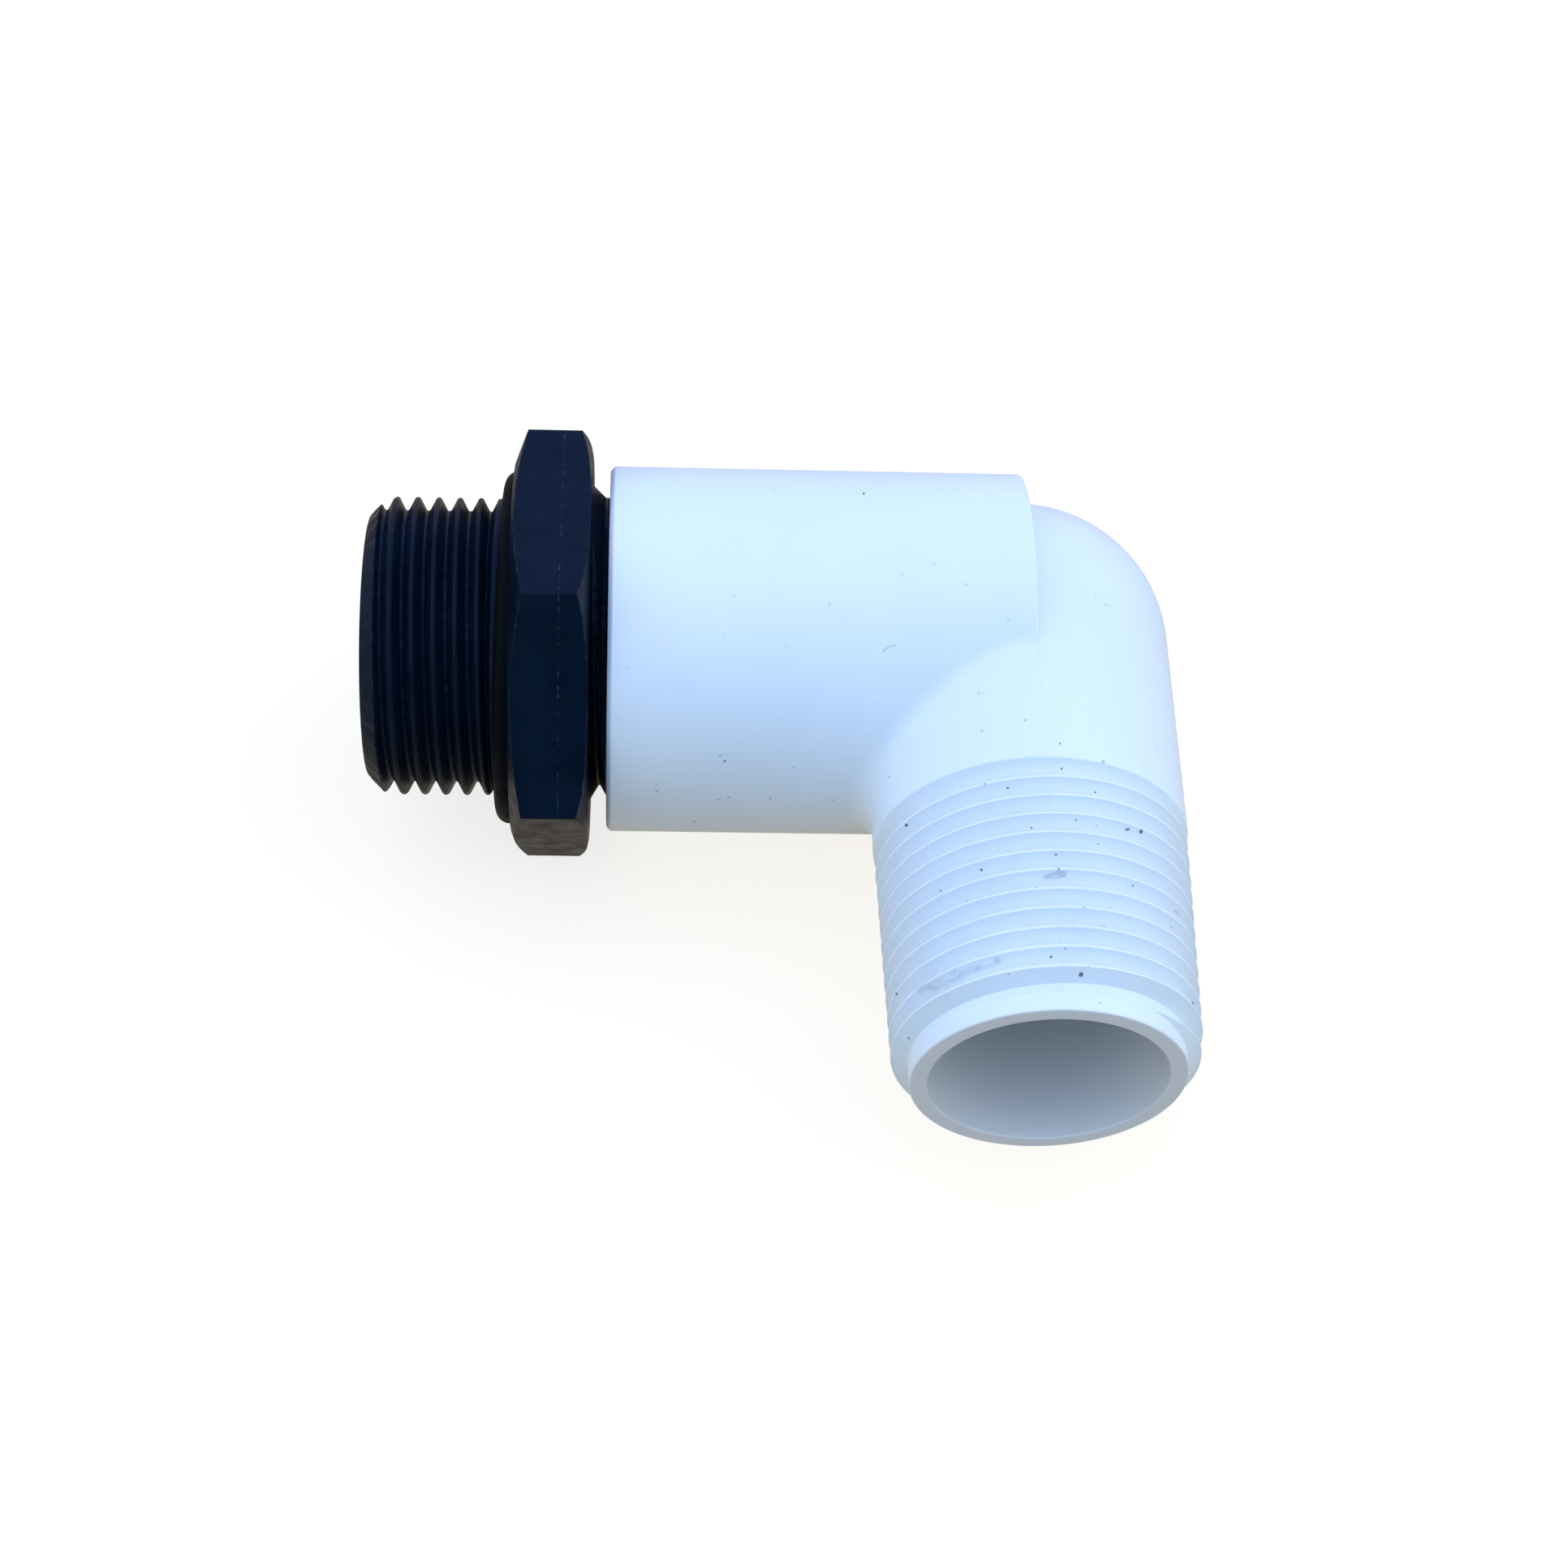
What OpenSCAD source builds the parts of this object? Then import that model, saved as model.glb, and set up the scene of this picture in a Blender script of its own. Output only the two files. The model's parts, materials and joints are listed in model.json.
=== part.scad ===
// Right-angle water fitting: a moulded elbow with a female taper-threaded hub
// and a male taper-threaded leg, carrying a hexagon adapter that is screwed
// into the hub and sealed at its outer thread by a rubber ring.
//
// Frame: origin where the hub axis and the leg axis cross. The hub and the
// adapter run along -X, the leg runs along -Y, +Z is up. Millimetres.

/* [Elbow hub] */
// Outside diameter of the hub
hub_d = 40.4; // [39.6:0.1:42]
// Distance from the leg axis to the hub mouth
hub_l = 45.35; // [44.35:0.05:46.35]
// Bevel on the outer edge of the hub mouth
hub_bevel = 0.45; // [0.2:0.05:0.8]
// Bevel on the back shoulder of the hub
shoulder_bevel = 0.3; // [0.3:0.1:1.2]
// Distance from the leg axis to the back shoulder of the hub
hub_back = 0.15; // [0.15:0.05:0.5]
// Diameter of the water passage behind the hub socket
passage_d = 24; // [22:0.2:24]

/* [Elbow leg] */
// Distance from the hub axis to the leg end face
leg_l = 54.17; // [54.17:0.01:54.67]
// Diameter of the bend and of the leg where it meets the bend
bend_d = 33.9; // [33.8:0.1:35]
// Diameter of the smooth collar just above the leg thread
collar_d = 33.6; // [33.6:0.05:34]
// Distance from the hub axis to the end of the smooth collar
collar_l = 25.5; // [25.3:0.1:26]
// Bore of the leg
leg_bore_d = 24.68; // [24.2:0.04:25]
// Diameter of the plain nose at the leg end
nose_d = 28.38; // [28:0.02:28.5]
// Length of the plain nose at the leg end
nose_l = 3.17; // [2.8:0.01:3.4]

/* [Taper threads] */
// Threads per inch of both taper threads
taper_tpi = 11.5; // [11.5:0.5:11.5]
// Height of the taper thread form
taper_depth = 1.64; // [1.5:0.02:1.66]
// Crest diameter the leg thread would have at the leg end face
leg_crest_d = 31.7; // [31.5:0.05:31.8]
// Crest diameter of the adapter's taper thread at the hub mouth
stub_crest_d = 33.5; // [33.2:0.05:33.6]
// Radial gap between the male and female taper threads
thread_gap = 0.15; // [0.13:0.01:0.2]
// Depth of the threaded socket in the hub
socket_l = 23; // [21:0.5:24]

/* [Hex adapter] */
// Size across the hexagon flats
hex_af = 42.8; // [42:0.1:44]
// Distance from the leg axis to the hexagon's hub-side face
hex_near = 47.3; // [46.8:0.1:48]
// Width of the hexagon
hex_w = 8.45; // [8.45:0.01:8.45]
// Diameter of the chamfer circle on the hexagon's outer face
hex_face_d = 41.2; // [40.6:0.1:41.6]
// Diameter of the chamfer circle on the hexagon's hub-side face
hex_back_d = 42.6; // [42:0.1:42.7]
// Angle about the hub axis from the leg up to the next hexagon corner, in degrees
hex_turn = 65.65; // [0:0.05:359]
// Distance from the leg axis to the inner end of the taper stub
stub_end = 27.2; // [26.7:0.1:28]
// Bore of the adapter
adapter_bore_d = 24.4; // [23:0.1:25]
// Distance from the leg axis to the adapter's outer end face
adapter_end = 71.63; // [71.43:0.01:71.83]
// Crest diameter of the parallel thread
par_crest_d = 32.9; // [32.8:0.01:32.9]
// Threads per inch of the parallel thread
par_tpi = 11; // [11:1:11]

/* [Sealing ring] */
// Section diameter of the rubber ring
ring_section = 3.05; // [2.9:0.01:3.05]
// Inside diameter of the rubber ring
ring_id = 32.95; // [32.94:0.01:33]
// Diameter of the plain seat under the rubber ring
seat_d = 32.84; // [32.7:0.02:32.86]
// Depth of the ring's recess in the hexagon face
recess_depth = 1.9; // [1.9:0.05:2.1]
// Diameter of the ring's recess in the hexagon face
recess_d = 39.5; // [39.3:0.05:39.8]
// Tilt of the ring in its recess, in degrees
ring_tilt = 1; // [0:0.1:1]

/* [Hidden] */

smooth = 128;
ring_smooth = 48;   // facets round the ring's section
turn_steps = 30;    // ridge steps in one turn
bed = 0.1;          // how far a ridge sinks below the thread root
over = 1;           // how far a cut runs past the face it opens

inch = 25.4;
taper_pitch = inch / taper_tpi;
taper_slope = 1 / 32;  // change of radius per millimetre of length
par_pitch = inch / par_tpi;
par_depth = 0.6403 * par_pitch;
par_crest_r = par_crest_d / 2;
par_root_r = par_crest_r - par_depth;

nose_at = leg_l - nose_l;
hex_far = hex_near + hex_w;
neck_r = 18.1;         // adapter neck between the hub mouth and the hexagon
ring_at = hex_far - 0.04;
ring_r = (ring_id + ring_section) / 2;
ring_tilt_turn = 35;   // direction of the tilt axis about the hub axis

// Thread forms: [depth below the crest, half width of the ridge there].
form_end = 4;          // depth at which both tables stop
taper_form = [[0, 0.06], [form_end, 0.06 + form_end * tan(30)]];
par_knee = 0.17;       // depth at which the parallel form changes slope
par_form = [
  [0, 0.10], [par_knee, 0.281],
  [form_end, 0.281 + (form_end - par_knee) * tan(27.5)]];

// Crest and root radii of the taper threads at distance z from the elbow centre.
function leg_crest(z) = leg_crest_d / 2 + (leg_l - z) * taper_slope;
function leg_root(z) = leg_crest(z) - taper_depth;
function stub_crest(z) = stub_crest_d / 2 - (hub_l - z) * taper_slope;
function stub_root(z) = stub_crest(z) - taper_depth;

// Angle at which a hub-axis thread's crest passes z, given one place where it is at 55.
function thread_angle(z, place, pitch) = 55 + 360 * (z - place) / pitch;
function stub_angle(z) = thread_angle(z, 46.2, taper_pitch);

// One helical ridge along +Z. Its crest line begins at height start and at the
// given angle. crest: crest radius at z = 0, slope: its change per millimetre,
// knees: depths of the form's points, top first, fade: [z, size of the form].
module ridge(start, angle, steps, pitch, crest, slope, depth, form, knees, fade) {
  foot = depth + bed;
  // Corners of the section, from low foot to high foot: [depth, side].
  corners = concat(
    [[foot, -1]],
    [for (j = [len(knees) - 1:-1:0]) [knees[j], -1]],
    [for (knee = knees) [knee, 1]],
    [[foot, 1]]);
  count = len(corners);
  points = [for (i = [0:steps])
    let(z = start + pitch * i / turn_steps,
        turn = angle + 360 * i / turn_steps,
        size = lookup(z, fade),
        foot_r = crest + slope * z - depth - bed)
    for (corner = corners)
    let(radius = foot_r + (foot - corner[0]) * size,
        half_width = lookup(corner[0], form) * size)
    [radius * cos(turn), radius * sin(turn), z + corner[1] * half_width]];
  faces = concat(
    [[for (j = [count - 1:-1:0]) j]],
    [[for (j = [0:count - 1]) steps * count + j]],
    [for (i = [0:steps - 1]) for (j = [0:count - 1])
      let(here = i * count, ahead = here + count, next = (j + 1) % count)
      each [
        [here + j, here + next, ahead + next],
        [here + j, ahead + next, ahead + j]]]);
  polyhedron(points = points, faces = faces, convexity = 10);
}

module taper_ridge(start, angle, steps, crest, slope, fade)
  ridge(start, angle, steps, taper_pitch, crest, slope, taper_depth, taper_form, [0], fade);

// All turned outlines are lists of [radius, distance from the elbow centre].
module turned(outline) rotate_extrude($fn = smooth) polygon(outline);

// Turned outline with a ball of diameter d closing its end at the elbow centre.
module turned_with_ball(d, outline)
  rotate_extrude($fn = smooth) union() {
    intersection() {
      circle(d = d, $fn = smooth);
      translate([0, -d]) square([d, d + 0.001]);
    }
    polygon(outline);
  }

// Turn a shape built along +Z so that it runs along the hub or the leg.
module on_hub() rotate([0, -90, 0]) children();
module on_leg() rotate([90, 0, 0]) children();

// Outside of the bend, the collar, the thread core and the nose.
module leg_core() {
  core_start = collar_l + 0.75;
  core_end = nose_at + 1;
  nose_r = nose_d / 2;
  nose_bevel = 0.25;
  turned_with_ball(bend_d, [
    [0, 0], [bend_d / 2, 0], [collar_d / 2, collar_l - 0.2],
    [leg_root(core_start), core_start], [leg_root(core_end), core_end],
    [nose_r, core_end + 0.1], [nose_r, leg_l - nose_bevel],
    [nose_r - nose_bevel, leg_l], [0, leg_l]]);
}

// Ridge of the leg thread: it rises beside the collar and dies out on the nose.
module leg_ridge() {
  top = nose_at - 0.84;
  start = top - 10.75 * taper_pitch;
  taper_ridge(start, angle = 180, steps = 349, crest = leg_crest(0), slope = -taper_slope,
    fade = [[start, 0.1], [start + 1.1, 0.97], [start + 1.6, 1], [top + 1.6, 1],
      [top + 1.96, 0.05]]);
}

// Water passage of the leg, rounded off inside the bend and bevelled at the end.
module leg_bore() {
  bore_r = leg_bore_d / 2;
  bevel = 0.35;
  turned_with_ball(leg_bore_d, [
    [0, 0], [bore_r, 0], [bore_r, leg_l - bevel],
    [bore_r + bevel, leg_l], [bore_r + bevel, leg_l + over], [0, leg_l + over]]);
}

module hub_block() {
  hub_r = hub_d / 2;
  turned([
    [0, hub_back], [hub_r - shoulder_bevel, hub_back],
    [hub_r - 0.25 * shoulder_bevel, hub_back + 0.25 * shoulder_bevel],
    [hub_r, hub_back + shoulder_bevel], [hub_r, hub_l - hub_bevel],
    [hub_r - hub_bevel, hub_l], [0, hub_l]]);
}

// Socket of the hub: passage, relief, female taper core and mouth bevel.
module socket_core() {
  floor_at = hub_l - socket_l;
  floor_r = stub_root(floor_at) + thread_gap;
  mouth_r = stub_root(hub_l) + thread_gap;
  bevel_at = hub_l - 1.9;
  bevel_r = stub_crest_d / 2 + 0.55;
  turned([
    [0, 0], [passage_d / 2, 0], [passage_d / 2, floor_at - 1.2], [floor_r, floor_at],
    [mouth_r, hub_l], [mouth_r, hub_l + over], [0, hub_l + over]]);
  turned([
    [0, bevel_at], [mouth_r - 0.3, bevel_at], [bevel_r, hub_l + 0.3],
    [bevel_r, hub_l + 1.1], [0, hub_l + 1.1]]);
}

// Groove that the female thread cuts into the hub socket.
module socket_groove() {
  start = hub_l - 20.3;
  taper_ridge(start, stub_angle(start), steps = 294, crest = stub_crest(0) + thread_gap,
    slope = taper_slope, fade = [[start, 0.1], [start + 0.9, 1]]);
}

module elbow_body()
  color([0.93, 0.95, 0.96]) union() {
    difference() {
      union() {
        on_leg() leg_core();
        on_hub() hub_block();
      }
      on_leg() leg_bore();
      on_hub() socket_core();
      on_hub() socket_groove();
    }
    on_leg() leg_ridge();
  }

// Outside of the adapter without thread ridges: stub, neck, ring seat, outer end.
module adapter_core() {
  stub_top = hex_near - 1.1;
  seat_r = seat_d / 2;
  turned([
    [0, stub_end], [stub_root(stub_end), stub_end], [stub_root(stub_top), stub_top],
    [neck_r - 1.1, hex_near - 0.8], [neck_r, hex_near + 0.1], [neck_r, hex_near + 0.6],
    [seat_r, hex_near + 1.2], [seat_r, hex_far + 1.9],
    [par_root_r, hex_far + 2.6], [par_root_r, adapter_end], [0, adapter_end]]);
}

// Hexagon with both faces chamfered.
module hex_block() {
  back_r = hex_back_d / 2;
  face_r = hex_face_d / 2;
  intersection() {
    // The leg lies at -90 degrees about the hub axis.
    rotate([0, 0, hex_turn - 90]) translate([0, 0, hex_near])
      cylinder(d = hex_af / cos(30), h = hex_w, $fn = 6);
    turned([
      [0, hex_near - 0.5], [back_r - 2.5, hex_near - 0.5], [back_r + 1.1, hex_near + 0.22],
      [back_r + 2.1, hex_near + 0.55], [back_r + 6.6, hex_near + 2.78],
      [face_r + 6.6, hex_far - 2.4], [face_r - 2.75, hex_far + 1], [0, hex_far + 1]]);
  }
}

// Space cut into the hexagon's outer face for the rubber ring.
module ring_recess() {
  inner_r = par_root_r - 2;
  floor_at = hex_far - recess_depth;
  turned([
    [inner_r, floor_at], [recess_d / 2, floor_at],
    [recess_d / 2, hex_far + over], [inner_r, hex_far + over]]);
}

module stub_ridge() {
  start = stub_end - 1.2;
  taper_ridge(start, stub_angle(start), steps = 306, crest = stub_crest(0),
    slope = taper_slope, fade = [[0, 1], [80, 1]]);
}

module par_ridge() {
  start = hex_far + 1.9;
  ridge(start, thread_angle(start, 68.88, par_pitch), steps = 170, pitch = par_pitch,
    crest = par_crest_r, slope = 0, depth = par_depth, form = par_form, knees = [0, par_knee],
    fade = [[start, 0.5], [start + 0.8, 0.97], [start + 1.2, 1],
      [adapter_end - 1.4, 1], [adapter_end - 0.9, 0.5]]);
}

// Rings that bevel the two ends of the adapter through core and thread.
module adapter_bevels() {
  stub_r = stub_root(stub_end) - 0.3;
  inner_r = 13.9;
  outer_r = 18.4;
  turned([
    [stub_r - 0.5, stub_end - 0.5], [stub_r + 3.5, stub_end + 3.5],
    [stub_r + 3.5, stub_end - 3], [stub_r - 0.5, stub_end - 3]]);
  turned([
    [inner_r, adapter_end + 0.5], [outer_r, adapter_end - 4],
    [outer_r, adapter_end + 2.5], [inner_r, adapter_end + 2.5]]);
}

module hex_adapter()
  color([0.09, 0.10, 0.13]) on_hub() difference() {
    union() {
      adapter_core();
      difference() {
        hex_block();
        ring_recess();
      }
      stub_ridge();
      par_ridge();
    }
    adapter_bevels();
    translate([0, 0, stub_end - over])
      cylinder(d = adapter_bore_d, h = adapter_end - stub_end + 2 * over, $fn = smooth);
  }

module seal_ring()
  color([0.05, 0.05, 0.06]) on_hub() translate([0, 0, ring_at])
    rotate(a = -ring_tilt, v = [cos(ring_tilt_turn), -sin(ring_tilt_turn), 0])
      rotate_extrude($fn = smooth)
        translate([ring_r, 0]) circle(d = ring_section, $fn = ring_smooth);

elbow_body();
hex_adapter();
seal_ring();
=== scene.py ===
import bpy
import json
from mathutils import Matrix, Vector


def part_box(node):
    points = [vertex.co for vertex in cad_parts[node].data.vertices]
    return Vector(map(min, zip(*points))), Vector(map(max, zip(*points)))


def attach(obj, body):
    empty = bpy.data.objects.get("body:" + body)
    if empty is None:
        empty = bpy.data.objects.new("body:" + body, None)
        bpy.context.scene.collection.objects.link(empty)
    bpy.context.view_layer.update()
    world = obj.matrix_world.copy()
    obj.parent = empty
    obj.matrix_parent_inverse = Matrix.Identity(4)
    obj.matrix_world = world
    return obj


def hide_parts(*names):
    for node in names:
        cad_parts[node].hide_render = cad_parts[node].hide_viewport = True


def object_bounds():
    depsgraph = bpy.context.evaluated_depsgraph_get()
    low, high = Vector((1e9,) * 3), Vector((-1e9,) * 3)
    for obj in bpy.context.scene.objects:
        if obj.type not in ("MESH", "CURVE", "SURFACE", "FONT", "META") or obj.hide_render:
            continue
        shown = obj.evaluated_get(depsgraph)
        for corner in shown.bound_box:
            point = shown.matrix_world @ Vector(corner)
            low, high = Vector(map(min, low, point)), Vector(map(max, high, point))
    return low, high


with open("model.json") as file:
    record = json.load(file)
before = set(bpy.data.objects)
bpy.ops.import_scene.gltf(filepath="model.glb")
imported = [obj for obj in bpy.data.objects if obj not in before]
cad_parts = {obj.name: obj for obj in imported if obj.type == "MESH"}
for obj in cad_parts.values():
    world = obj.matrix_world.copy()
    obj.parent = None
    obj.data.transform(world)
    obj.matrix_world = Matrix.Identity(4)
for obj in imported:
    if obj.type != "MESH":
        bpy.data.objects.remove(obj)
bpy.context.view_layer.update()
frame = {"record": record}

import json
import math
from functools import reduce

import bpy
import numpy as np
from mathutils import Matrix, Vector

MM = 0.001
SCENE = bpy.context.scene

# ---------------------------------------------------------------- sizes, mm
# _R is a radius. _END, _AT, _NEAR and _FAR are distances from the origin along the hub or leg.
elbow_lo, elbow_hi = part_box("elbow_body")
adapter_lo, adapter_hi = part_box("hex_adapter")
ring_lo, ring_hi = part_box("seal_ring")
mounts = {mount["name"]: mount for mount in frame["record"]["mounts"]}


def mount_radius(name):
    return mounts[name]["dims"]["r_mm"]


HUB_END = -elbow_lo.x / MM
HUB_R = elbow_hi.z / MM
HUB_BACK = 0.15  # where the hub's closed end is cut flat
HUB_CUT_R = 26  # radius of the tools that trim the hub's ends
HUB_FILLET = 2.8  # between hub and leg
PASSAGE_R = 12.0
SOCKET_DEPTH = 23.0
SOCKET_GAP = 0.15  # between the stub and the socket

LEG_END = -elbow_lo.y / MM
BEND_R = elbow_hi.x / MM  # ball at the bend, where the leg starts
LEG_BORE_R = mount_radius("leg_bore")
LEG_CREST_R = mount_radius("leg_thread")
COLLAR_R = 16.8
COLLAR_END = 25.9
NOSE_R = 14.19
NOSE_AT = LEG_END - 3.17

# taper threads of the leg and the adapter's stub
TAPER_PITCH = 25.4 / 11.5
TAPER_DEPTH = 1.64
TAPER = 1 / 32
CREST_HALF = 0.06  # half width of a ridge at its crest
TAN_30 = math.tan(math.radians(30))

STUB_END = -adapter_hi.x / MM
STUB_CREST_R = 16.75
ADAPTER_END = -adapter_lo.x / MM
ADAPTER_BORE_R = mount_radius("adapter_bore")
PAR_PITCH = 25.4 / 11
PAR_CREST_R = mount_radius("adapter_thread")
PAR_ROOT_R = PAR_CREST_R - 0.6403 * PAR_PITCH
SEAT_R = 16.42

HEX_NEAR = 47.3
HEX_FAR = HEX_NEAR + 8.45
HEX_FLATS = 42.8  # across flats
HEX_CORNER_R = 0.45
HEX_FACE_R = 20.6  # flat left by the chamfer on the far side
HEX_BACK_R = 21.3  # the same on the near side
RECESS_DEPTH = 1.9
RECESS_R = 19.75
flat_normal = mounts["wrench_flat"]["axis"]
HEX_FLAT_ANGLE = math.atan2(flat_normal[1], flat_normal[2])  # from +Z towards +Y

RING_THICK = 3.05
RING_OUTER_R = 32.95 / 2 + RING_THICK
RING_AT = -(ring_hi.x + ring_lo.x) / 2 / MM
RING_TILT = 1.0  # degrees
RING_TILT_AXIS = math.radians(-35)


def leg_crest(z):
    return LEG_CREST_R + (LEG_END - z) * TAPER


def stub_crest(z):
    return STUB_CREST_R - (HUB_END - z) * TAPER


def stub_root(z):
    return stub_crest(z) - TAPER_DEPTH


def stub_phase(z):
    """Angle of the stub's thread; socket and neck use it too, so that they match."""
    return math.radians(55) + 2 * math.pi * (z - 46.2) / TAPER_PITCH


# ------------------------------------------------------------ mesh helpers
def on_hub(points):
    """Local Z becomes the hub's axis, towards -X."""
    return np.stack([-points[:, 2], points[:, 1], points[:, 0]], 1)


def on_leg(points):
    """Local Z becomes the leg's axis, towards -Y."""
    return np.stack([points[:, 0], -points[:, 2], points[:, 1]], 1)


def solid(name, points, faces):
    mesh = bpy.data.meshes.new(name)
    mesh.from_pydata(np.asarray(points, float).tolist(), [], faces)
    mesh.update(calc_edges=True)
    made = bpy.data.objects.new(name, mesh)
    SCENE.collection.objects.link(made)
    return made


def circles(outline, count, wobble=None):
    """One circle of points for each (along, radius); wobble(angles, index) adds to the radius."""
    turn = np.arange(count) * 2 * math.pi / count
    rows = []
    for i, (along, radius) in enumerate(outline):
        r = radius + (wobble(turn, i) if wobble else np.zeros(count))
        rows.append(np.stack([np.cos(turn) * r, np.sin(turn) * r, np.full(count, along)], 1))
    return np.concatenate(rows)


def around(count):
    """Indices round a circle, and the index that follows each."""
    here = np.arange(count)
    return here, (here + 1) % count


def band(first, second, count):
    """Quads between the circles that start at two indices."""
    here, after = around(count)
    quads = [first + here, first + after, second + after, second + here]
    return np.stack(quads, 1).tolist()


def revolve(name, path, count, place):
    """Closed solid from a path of (along, radius) that starts and ends on the axis."""
    inner = path[1:-1]
    last = (len(inner) - 1) * count
    ends = [(0, 0, path[0][0]), (0, 0, path[-1][0])]
    points = np.concatenate([circles(inner, count), np.array(ends, float)])
    faces = []
    for i in range(len(inner) - 1):
        faces += band(i * count, (i + 1) * count, count)
    here, after = around(count)
    tip = last + count
    faces += np.stack([after, here, np.full(count, tip)], 1).tolist()
    faces += np.stack([last + here, last + after, np.full(count, tip + 1)], 1).tolist()
    return solid(name, place(points), faces)


def ring_solid(name, loop, count, place, wobble=None):
    """Closed solid turned from a closed loop of (along, radius) clear of the axis."""
    faces = []
    for i in range(len(loop)):
        faces += band(i * count, (i + 1) % len(loop) * count, count)
    return solid(name, place(circles(loop, count, wobble)), faces)


def helix(start, pitch, turns, steps, angle):
    """Places along the axis and angles of a helix, with a number of steps per turn."""
    i = np.arange(int(turns * steps) + 1)
    return start + pitch * i / steps, angle + 2 * math.pi * i / steps


def tube(name, along, angle, sections, place):
    """Skin over sections of (offset along, radius), one at each step of a helix."""
    sections = np.array(sections)
    count, size = sections.shape[:2]
    r = sections[:, :, 1]
    x = r * np.cos(angle)[:, None]
    y = r * np.sin(angle)[:, None]
    z = sections[:, :, 0] + along[:, None]
    faces = [list(range(size)), list(range(count * size - 1, (count - 1) * size - 1, -1))]
    here, after = around(size)
    for i in range(count - 1):
        a, b = i * size, (i + 1) * size
        faces += np.stack([a + here, b + here, b + after, a + after], 1).tolist()
    return solid(name, place(np.stack([x, y, z], 2).reshape(-1, 3)), faces)


def thread(name, along, angle, crest, base, form, scale, place, jag=None):
    """Helical ridge. All but form are arrays along it; form is [(depth, half width)] from
    the crest down, scale shrinks the ridge, jag moves the crest in and out."""
    depth, half = np.array(form).T
    if jag is None:
        jag = np.zeros(len(along))
    sections = []
    for i in range(len(along)):
        r = base[i] + (crest[i] - base[i] - depth) * scale[i]
        wide = half * scale[i]
        r = r + jag[i] * np.clip(1 - depth / 0.6, 0, 1)
        foot = wide[-1] + (r[-1] - base[i]) * 0.2
        radii = np.concatenate([[base[i]], r[::-1], r, [base[i]]])
        offsets = np.concatenate([[-foot], -wide[::-1], wide, [foot]])
        sections.append(np.stack([offsets, radii], 1))
    return tube(name, along, angle, sections, place)


def flanks(*depths):
    """Rows of a taper thread's form on its straight 30 degree flanks."""
    return [(d, CREST_HALF + d * TAN_30) for d in depths]


def arc(along, out, radius, start, end, count):
    """Points of a circle as (along, radius); degrees, 0 along the axis, 90 outwards."""
    turn = np.radians(np.linspace(start, end, count))
    return [(along + radius * math.cos(t), out + radius * math.sin(t)) for t in turn]


def boolean(target, tool, operation):
    """Applies the tool to the target and removes it; stops if nothing came of it."""
    cut = target.modifiers.new("cut", "BOOLEAN")
    cut.object, cut.operation, cut.solver = tool, operation, "MANIFOLD"
    depsgraph = bpy.context.evaluated_depsgraph_get()
    mesh = bpy.data.meshes.new_from_object(target.evaluated_get(depsgraph))
    same = operation != "INTERSECT" and len(mesh.polygons) == len(target.data.polygons)
    if len(mesh.vertices) == 0 or same:
        raise RuntimeError("boolean changed nothing: %s %s" % (target.name, tool.name))
    target.modifiers.clear()
    target.data = mesh
    bpy.data.objects.remove(tool)


def surface_nets(field, lo, hi, cell):
    """Points and quads on the zero surface of a field that is negative inside."""
    lo = np.array(lo, float)
    size = np.ceil((np.array(hi) - lo) / cell).astype(int) + 1
    axes = [lo[i] + cell * np.arange(size[i]) for i in range(3)]
    values = field(*np.meshgrid(*axes, indexing="ij"))
    bore_shade_and_end_face = values < 0
    corners = [(x, y, z) for x in (0, 1) for y in (0, 1) for z in (0, 1)]

    # a cell with corners on both sides of the surface gets one point
    count = np.zeros(size - 1, int)
    for x, y, z in corners:
        count += bore_shade_and_end_face[x:size[0] - 1 + x, y:size[1] - 1 + y, z:size[2] - 1 + z]
    active = (count > 0) & (count < 8)
    at = np.nonzero(active)
    index = -np.ones(active.shape, int)
    index[at] = np.arange(len(at[0]))

    # the point starts at the mean of the crossings on the cell's edges
    points = np.zeros((len(at[0]), 3))
    crossings = np.zeros(len(at[0]))
    for corner in corners:
        for d in range(3):
            if corner[d]:
                continue
            end = list(corner)
            end[d] = 1
            first = values[tuple(a + c for a, c in zip(at, corner))]
            second = values[tuple(a + c for a, c in zip(at, end))]
            crossed = (first < 0) != (second < 0)
            part = np.where(crossed, first / np.where(crossed, first - second, 1), 0)
            place = np.tile(np.array(corner, float), (len(at[0]), 1))
            place[:, d] += part
            points += place * crossed[:, None]
            crossings += crossed
    points = lo + cell * (np.stack(at, 1) + points / crossings[:, None])

    # and is then pulled onto the surface along the gradient
    for _ in range(4):
        slope = np.zeros_like(points)
        for d in range(3):
            step = np.zeros(3)
            step[d] = 0.01
            slope[:, d] = (field(*(points + step).T) - field(*(points - step).T)) / 0.02
        pull = field(*points.T) / np.maximum((slope * slope).sum(1), 0.2)
        points -= slope * np.clip(pull, -cell, cell)[:, None]

    # one quad round every grid edge that crosses the surface
    quads = []
    for axis in range(3):
        low = [slice(1, -1)] * 3
        high = [slice(1, -1)] * 3
        low[axis], high[axis] = slice(None, -1), slice(1, None)
        at = np.array(np.nonzero(bore_shade_and_end_face[tuple(low)] != bore_shade_and_end_face[tuple(high)]))
        unit = np.eye(3, dtype=int)[:, :, None]
        u, v = [unit[d] for d in range(3) if d != axis]
        at = at + u + v
        quad = np.stack([index[tuple(c)] for c in (at - u - v, at - v, at, at - u)], 1)
        starts_inside = bore_shade_and_end_face[tuple(at)]
        way = -1 if axis == 1 else 1
        quads += [quad[starts_inside][:, ::way], quad[~starts_inside][:, ::-way]]
    return points, np.concatenate(quads).tolist()


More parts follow.
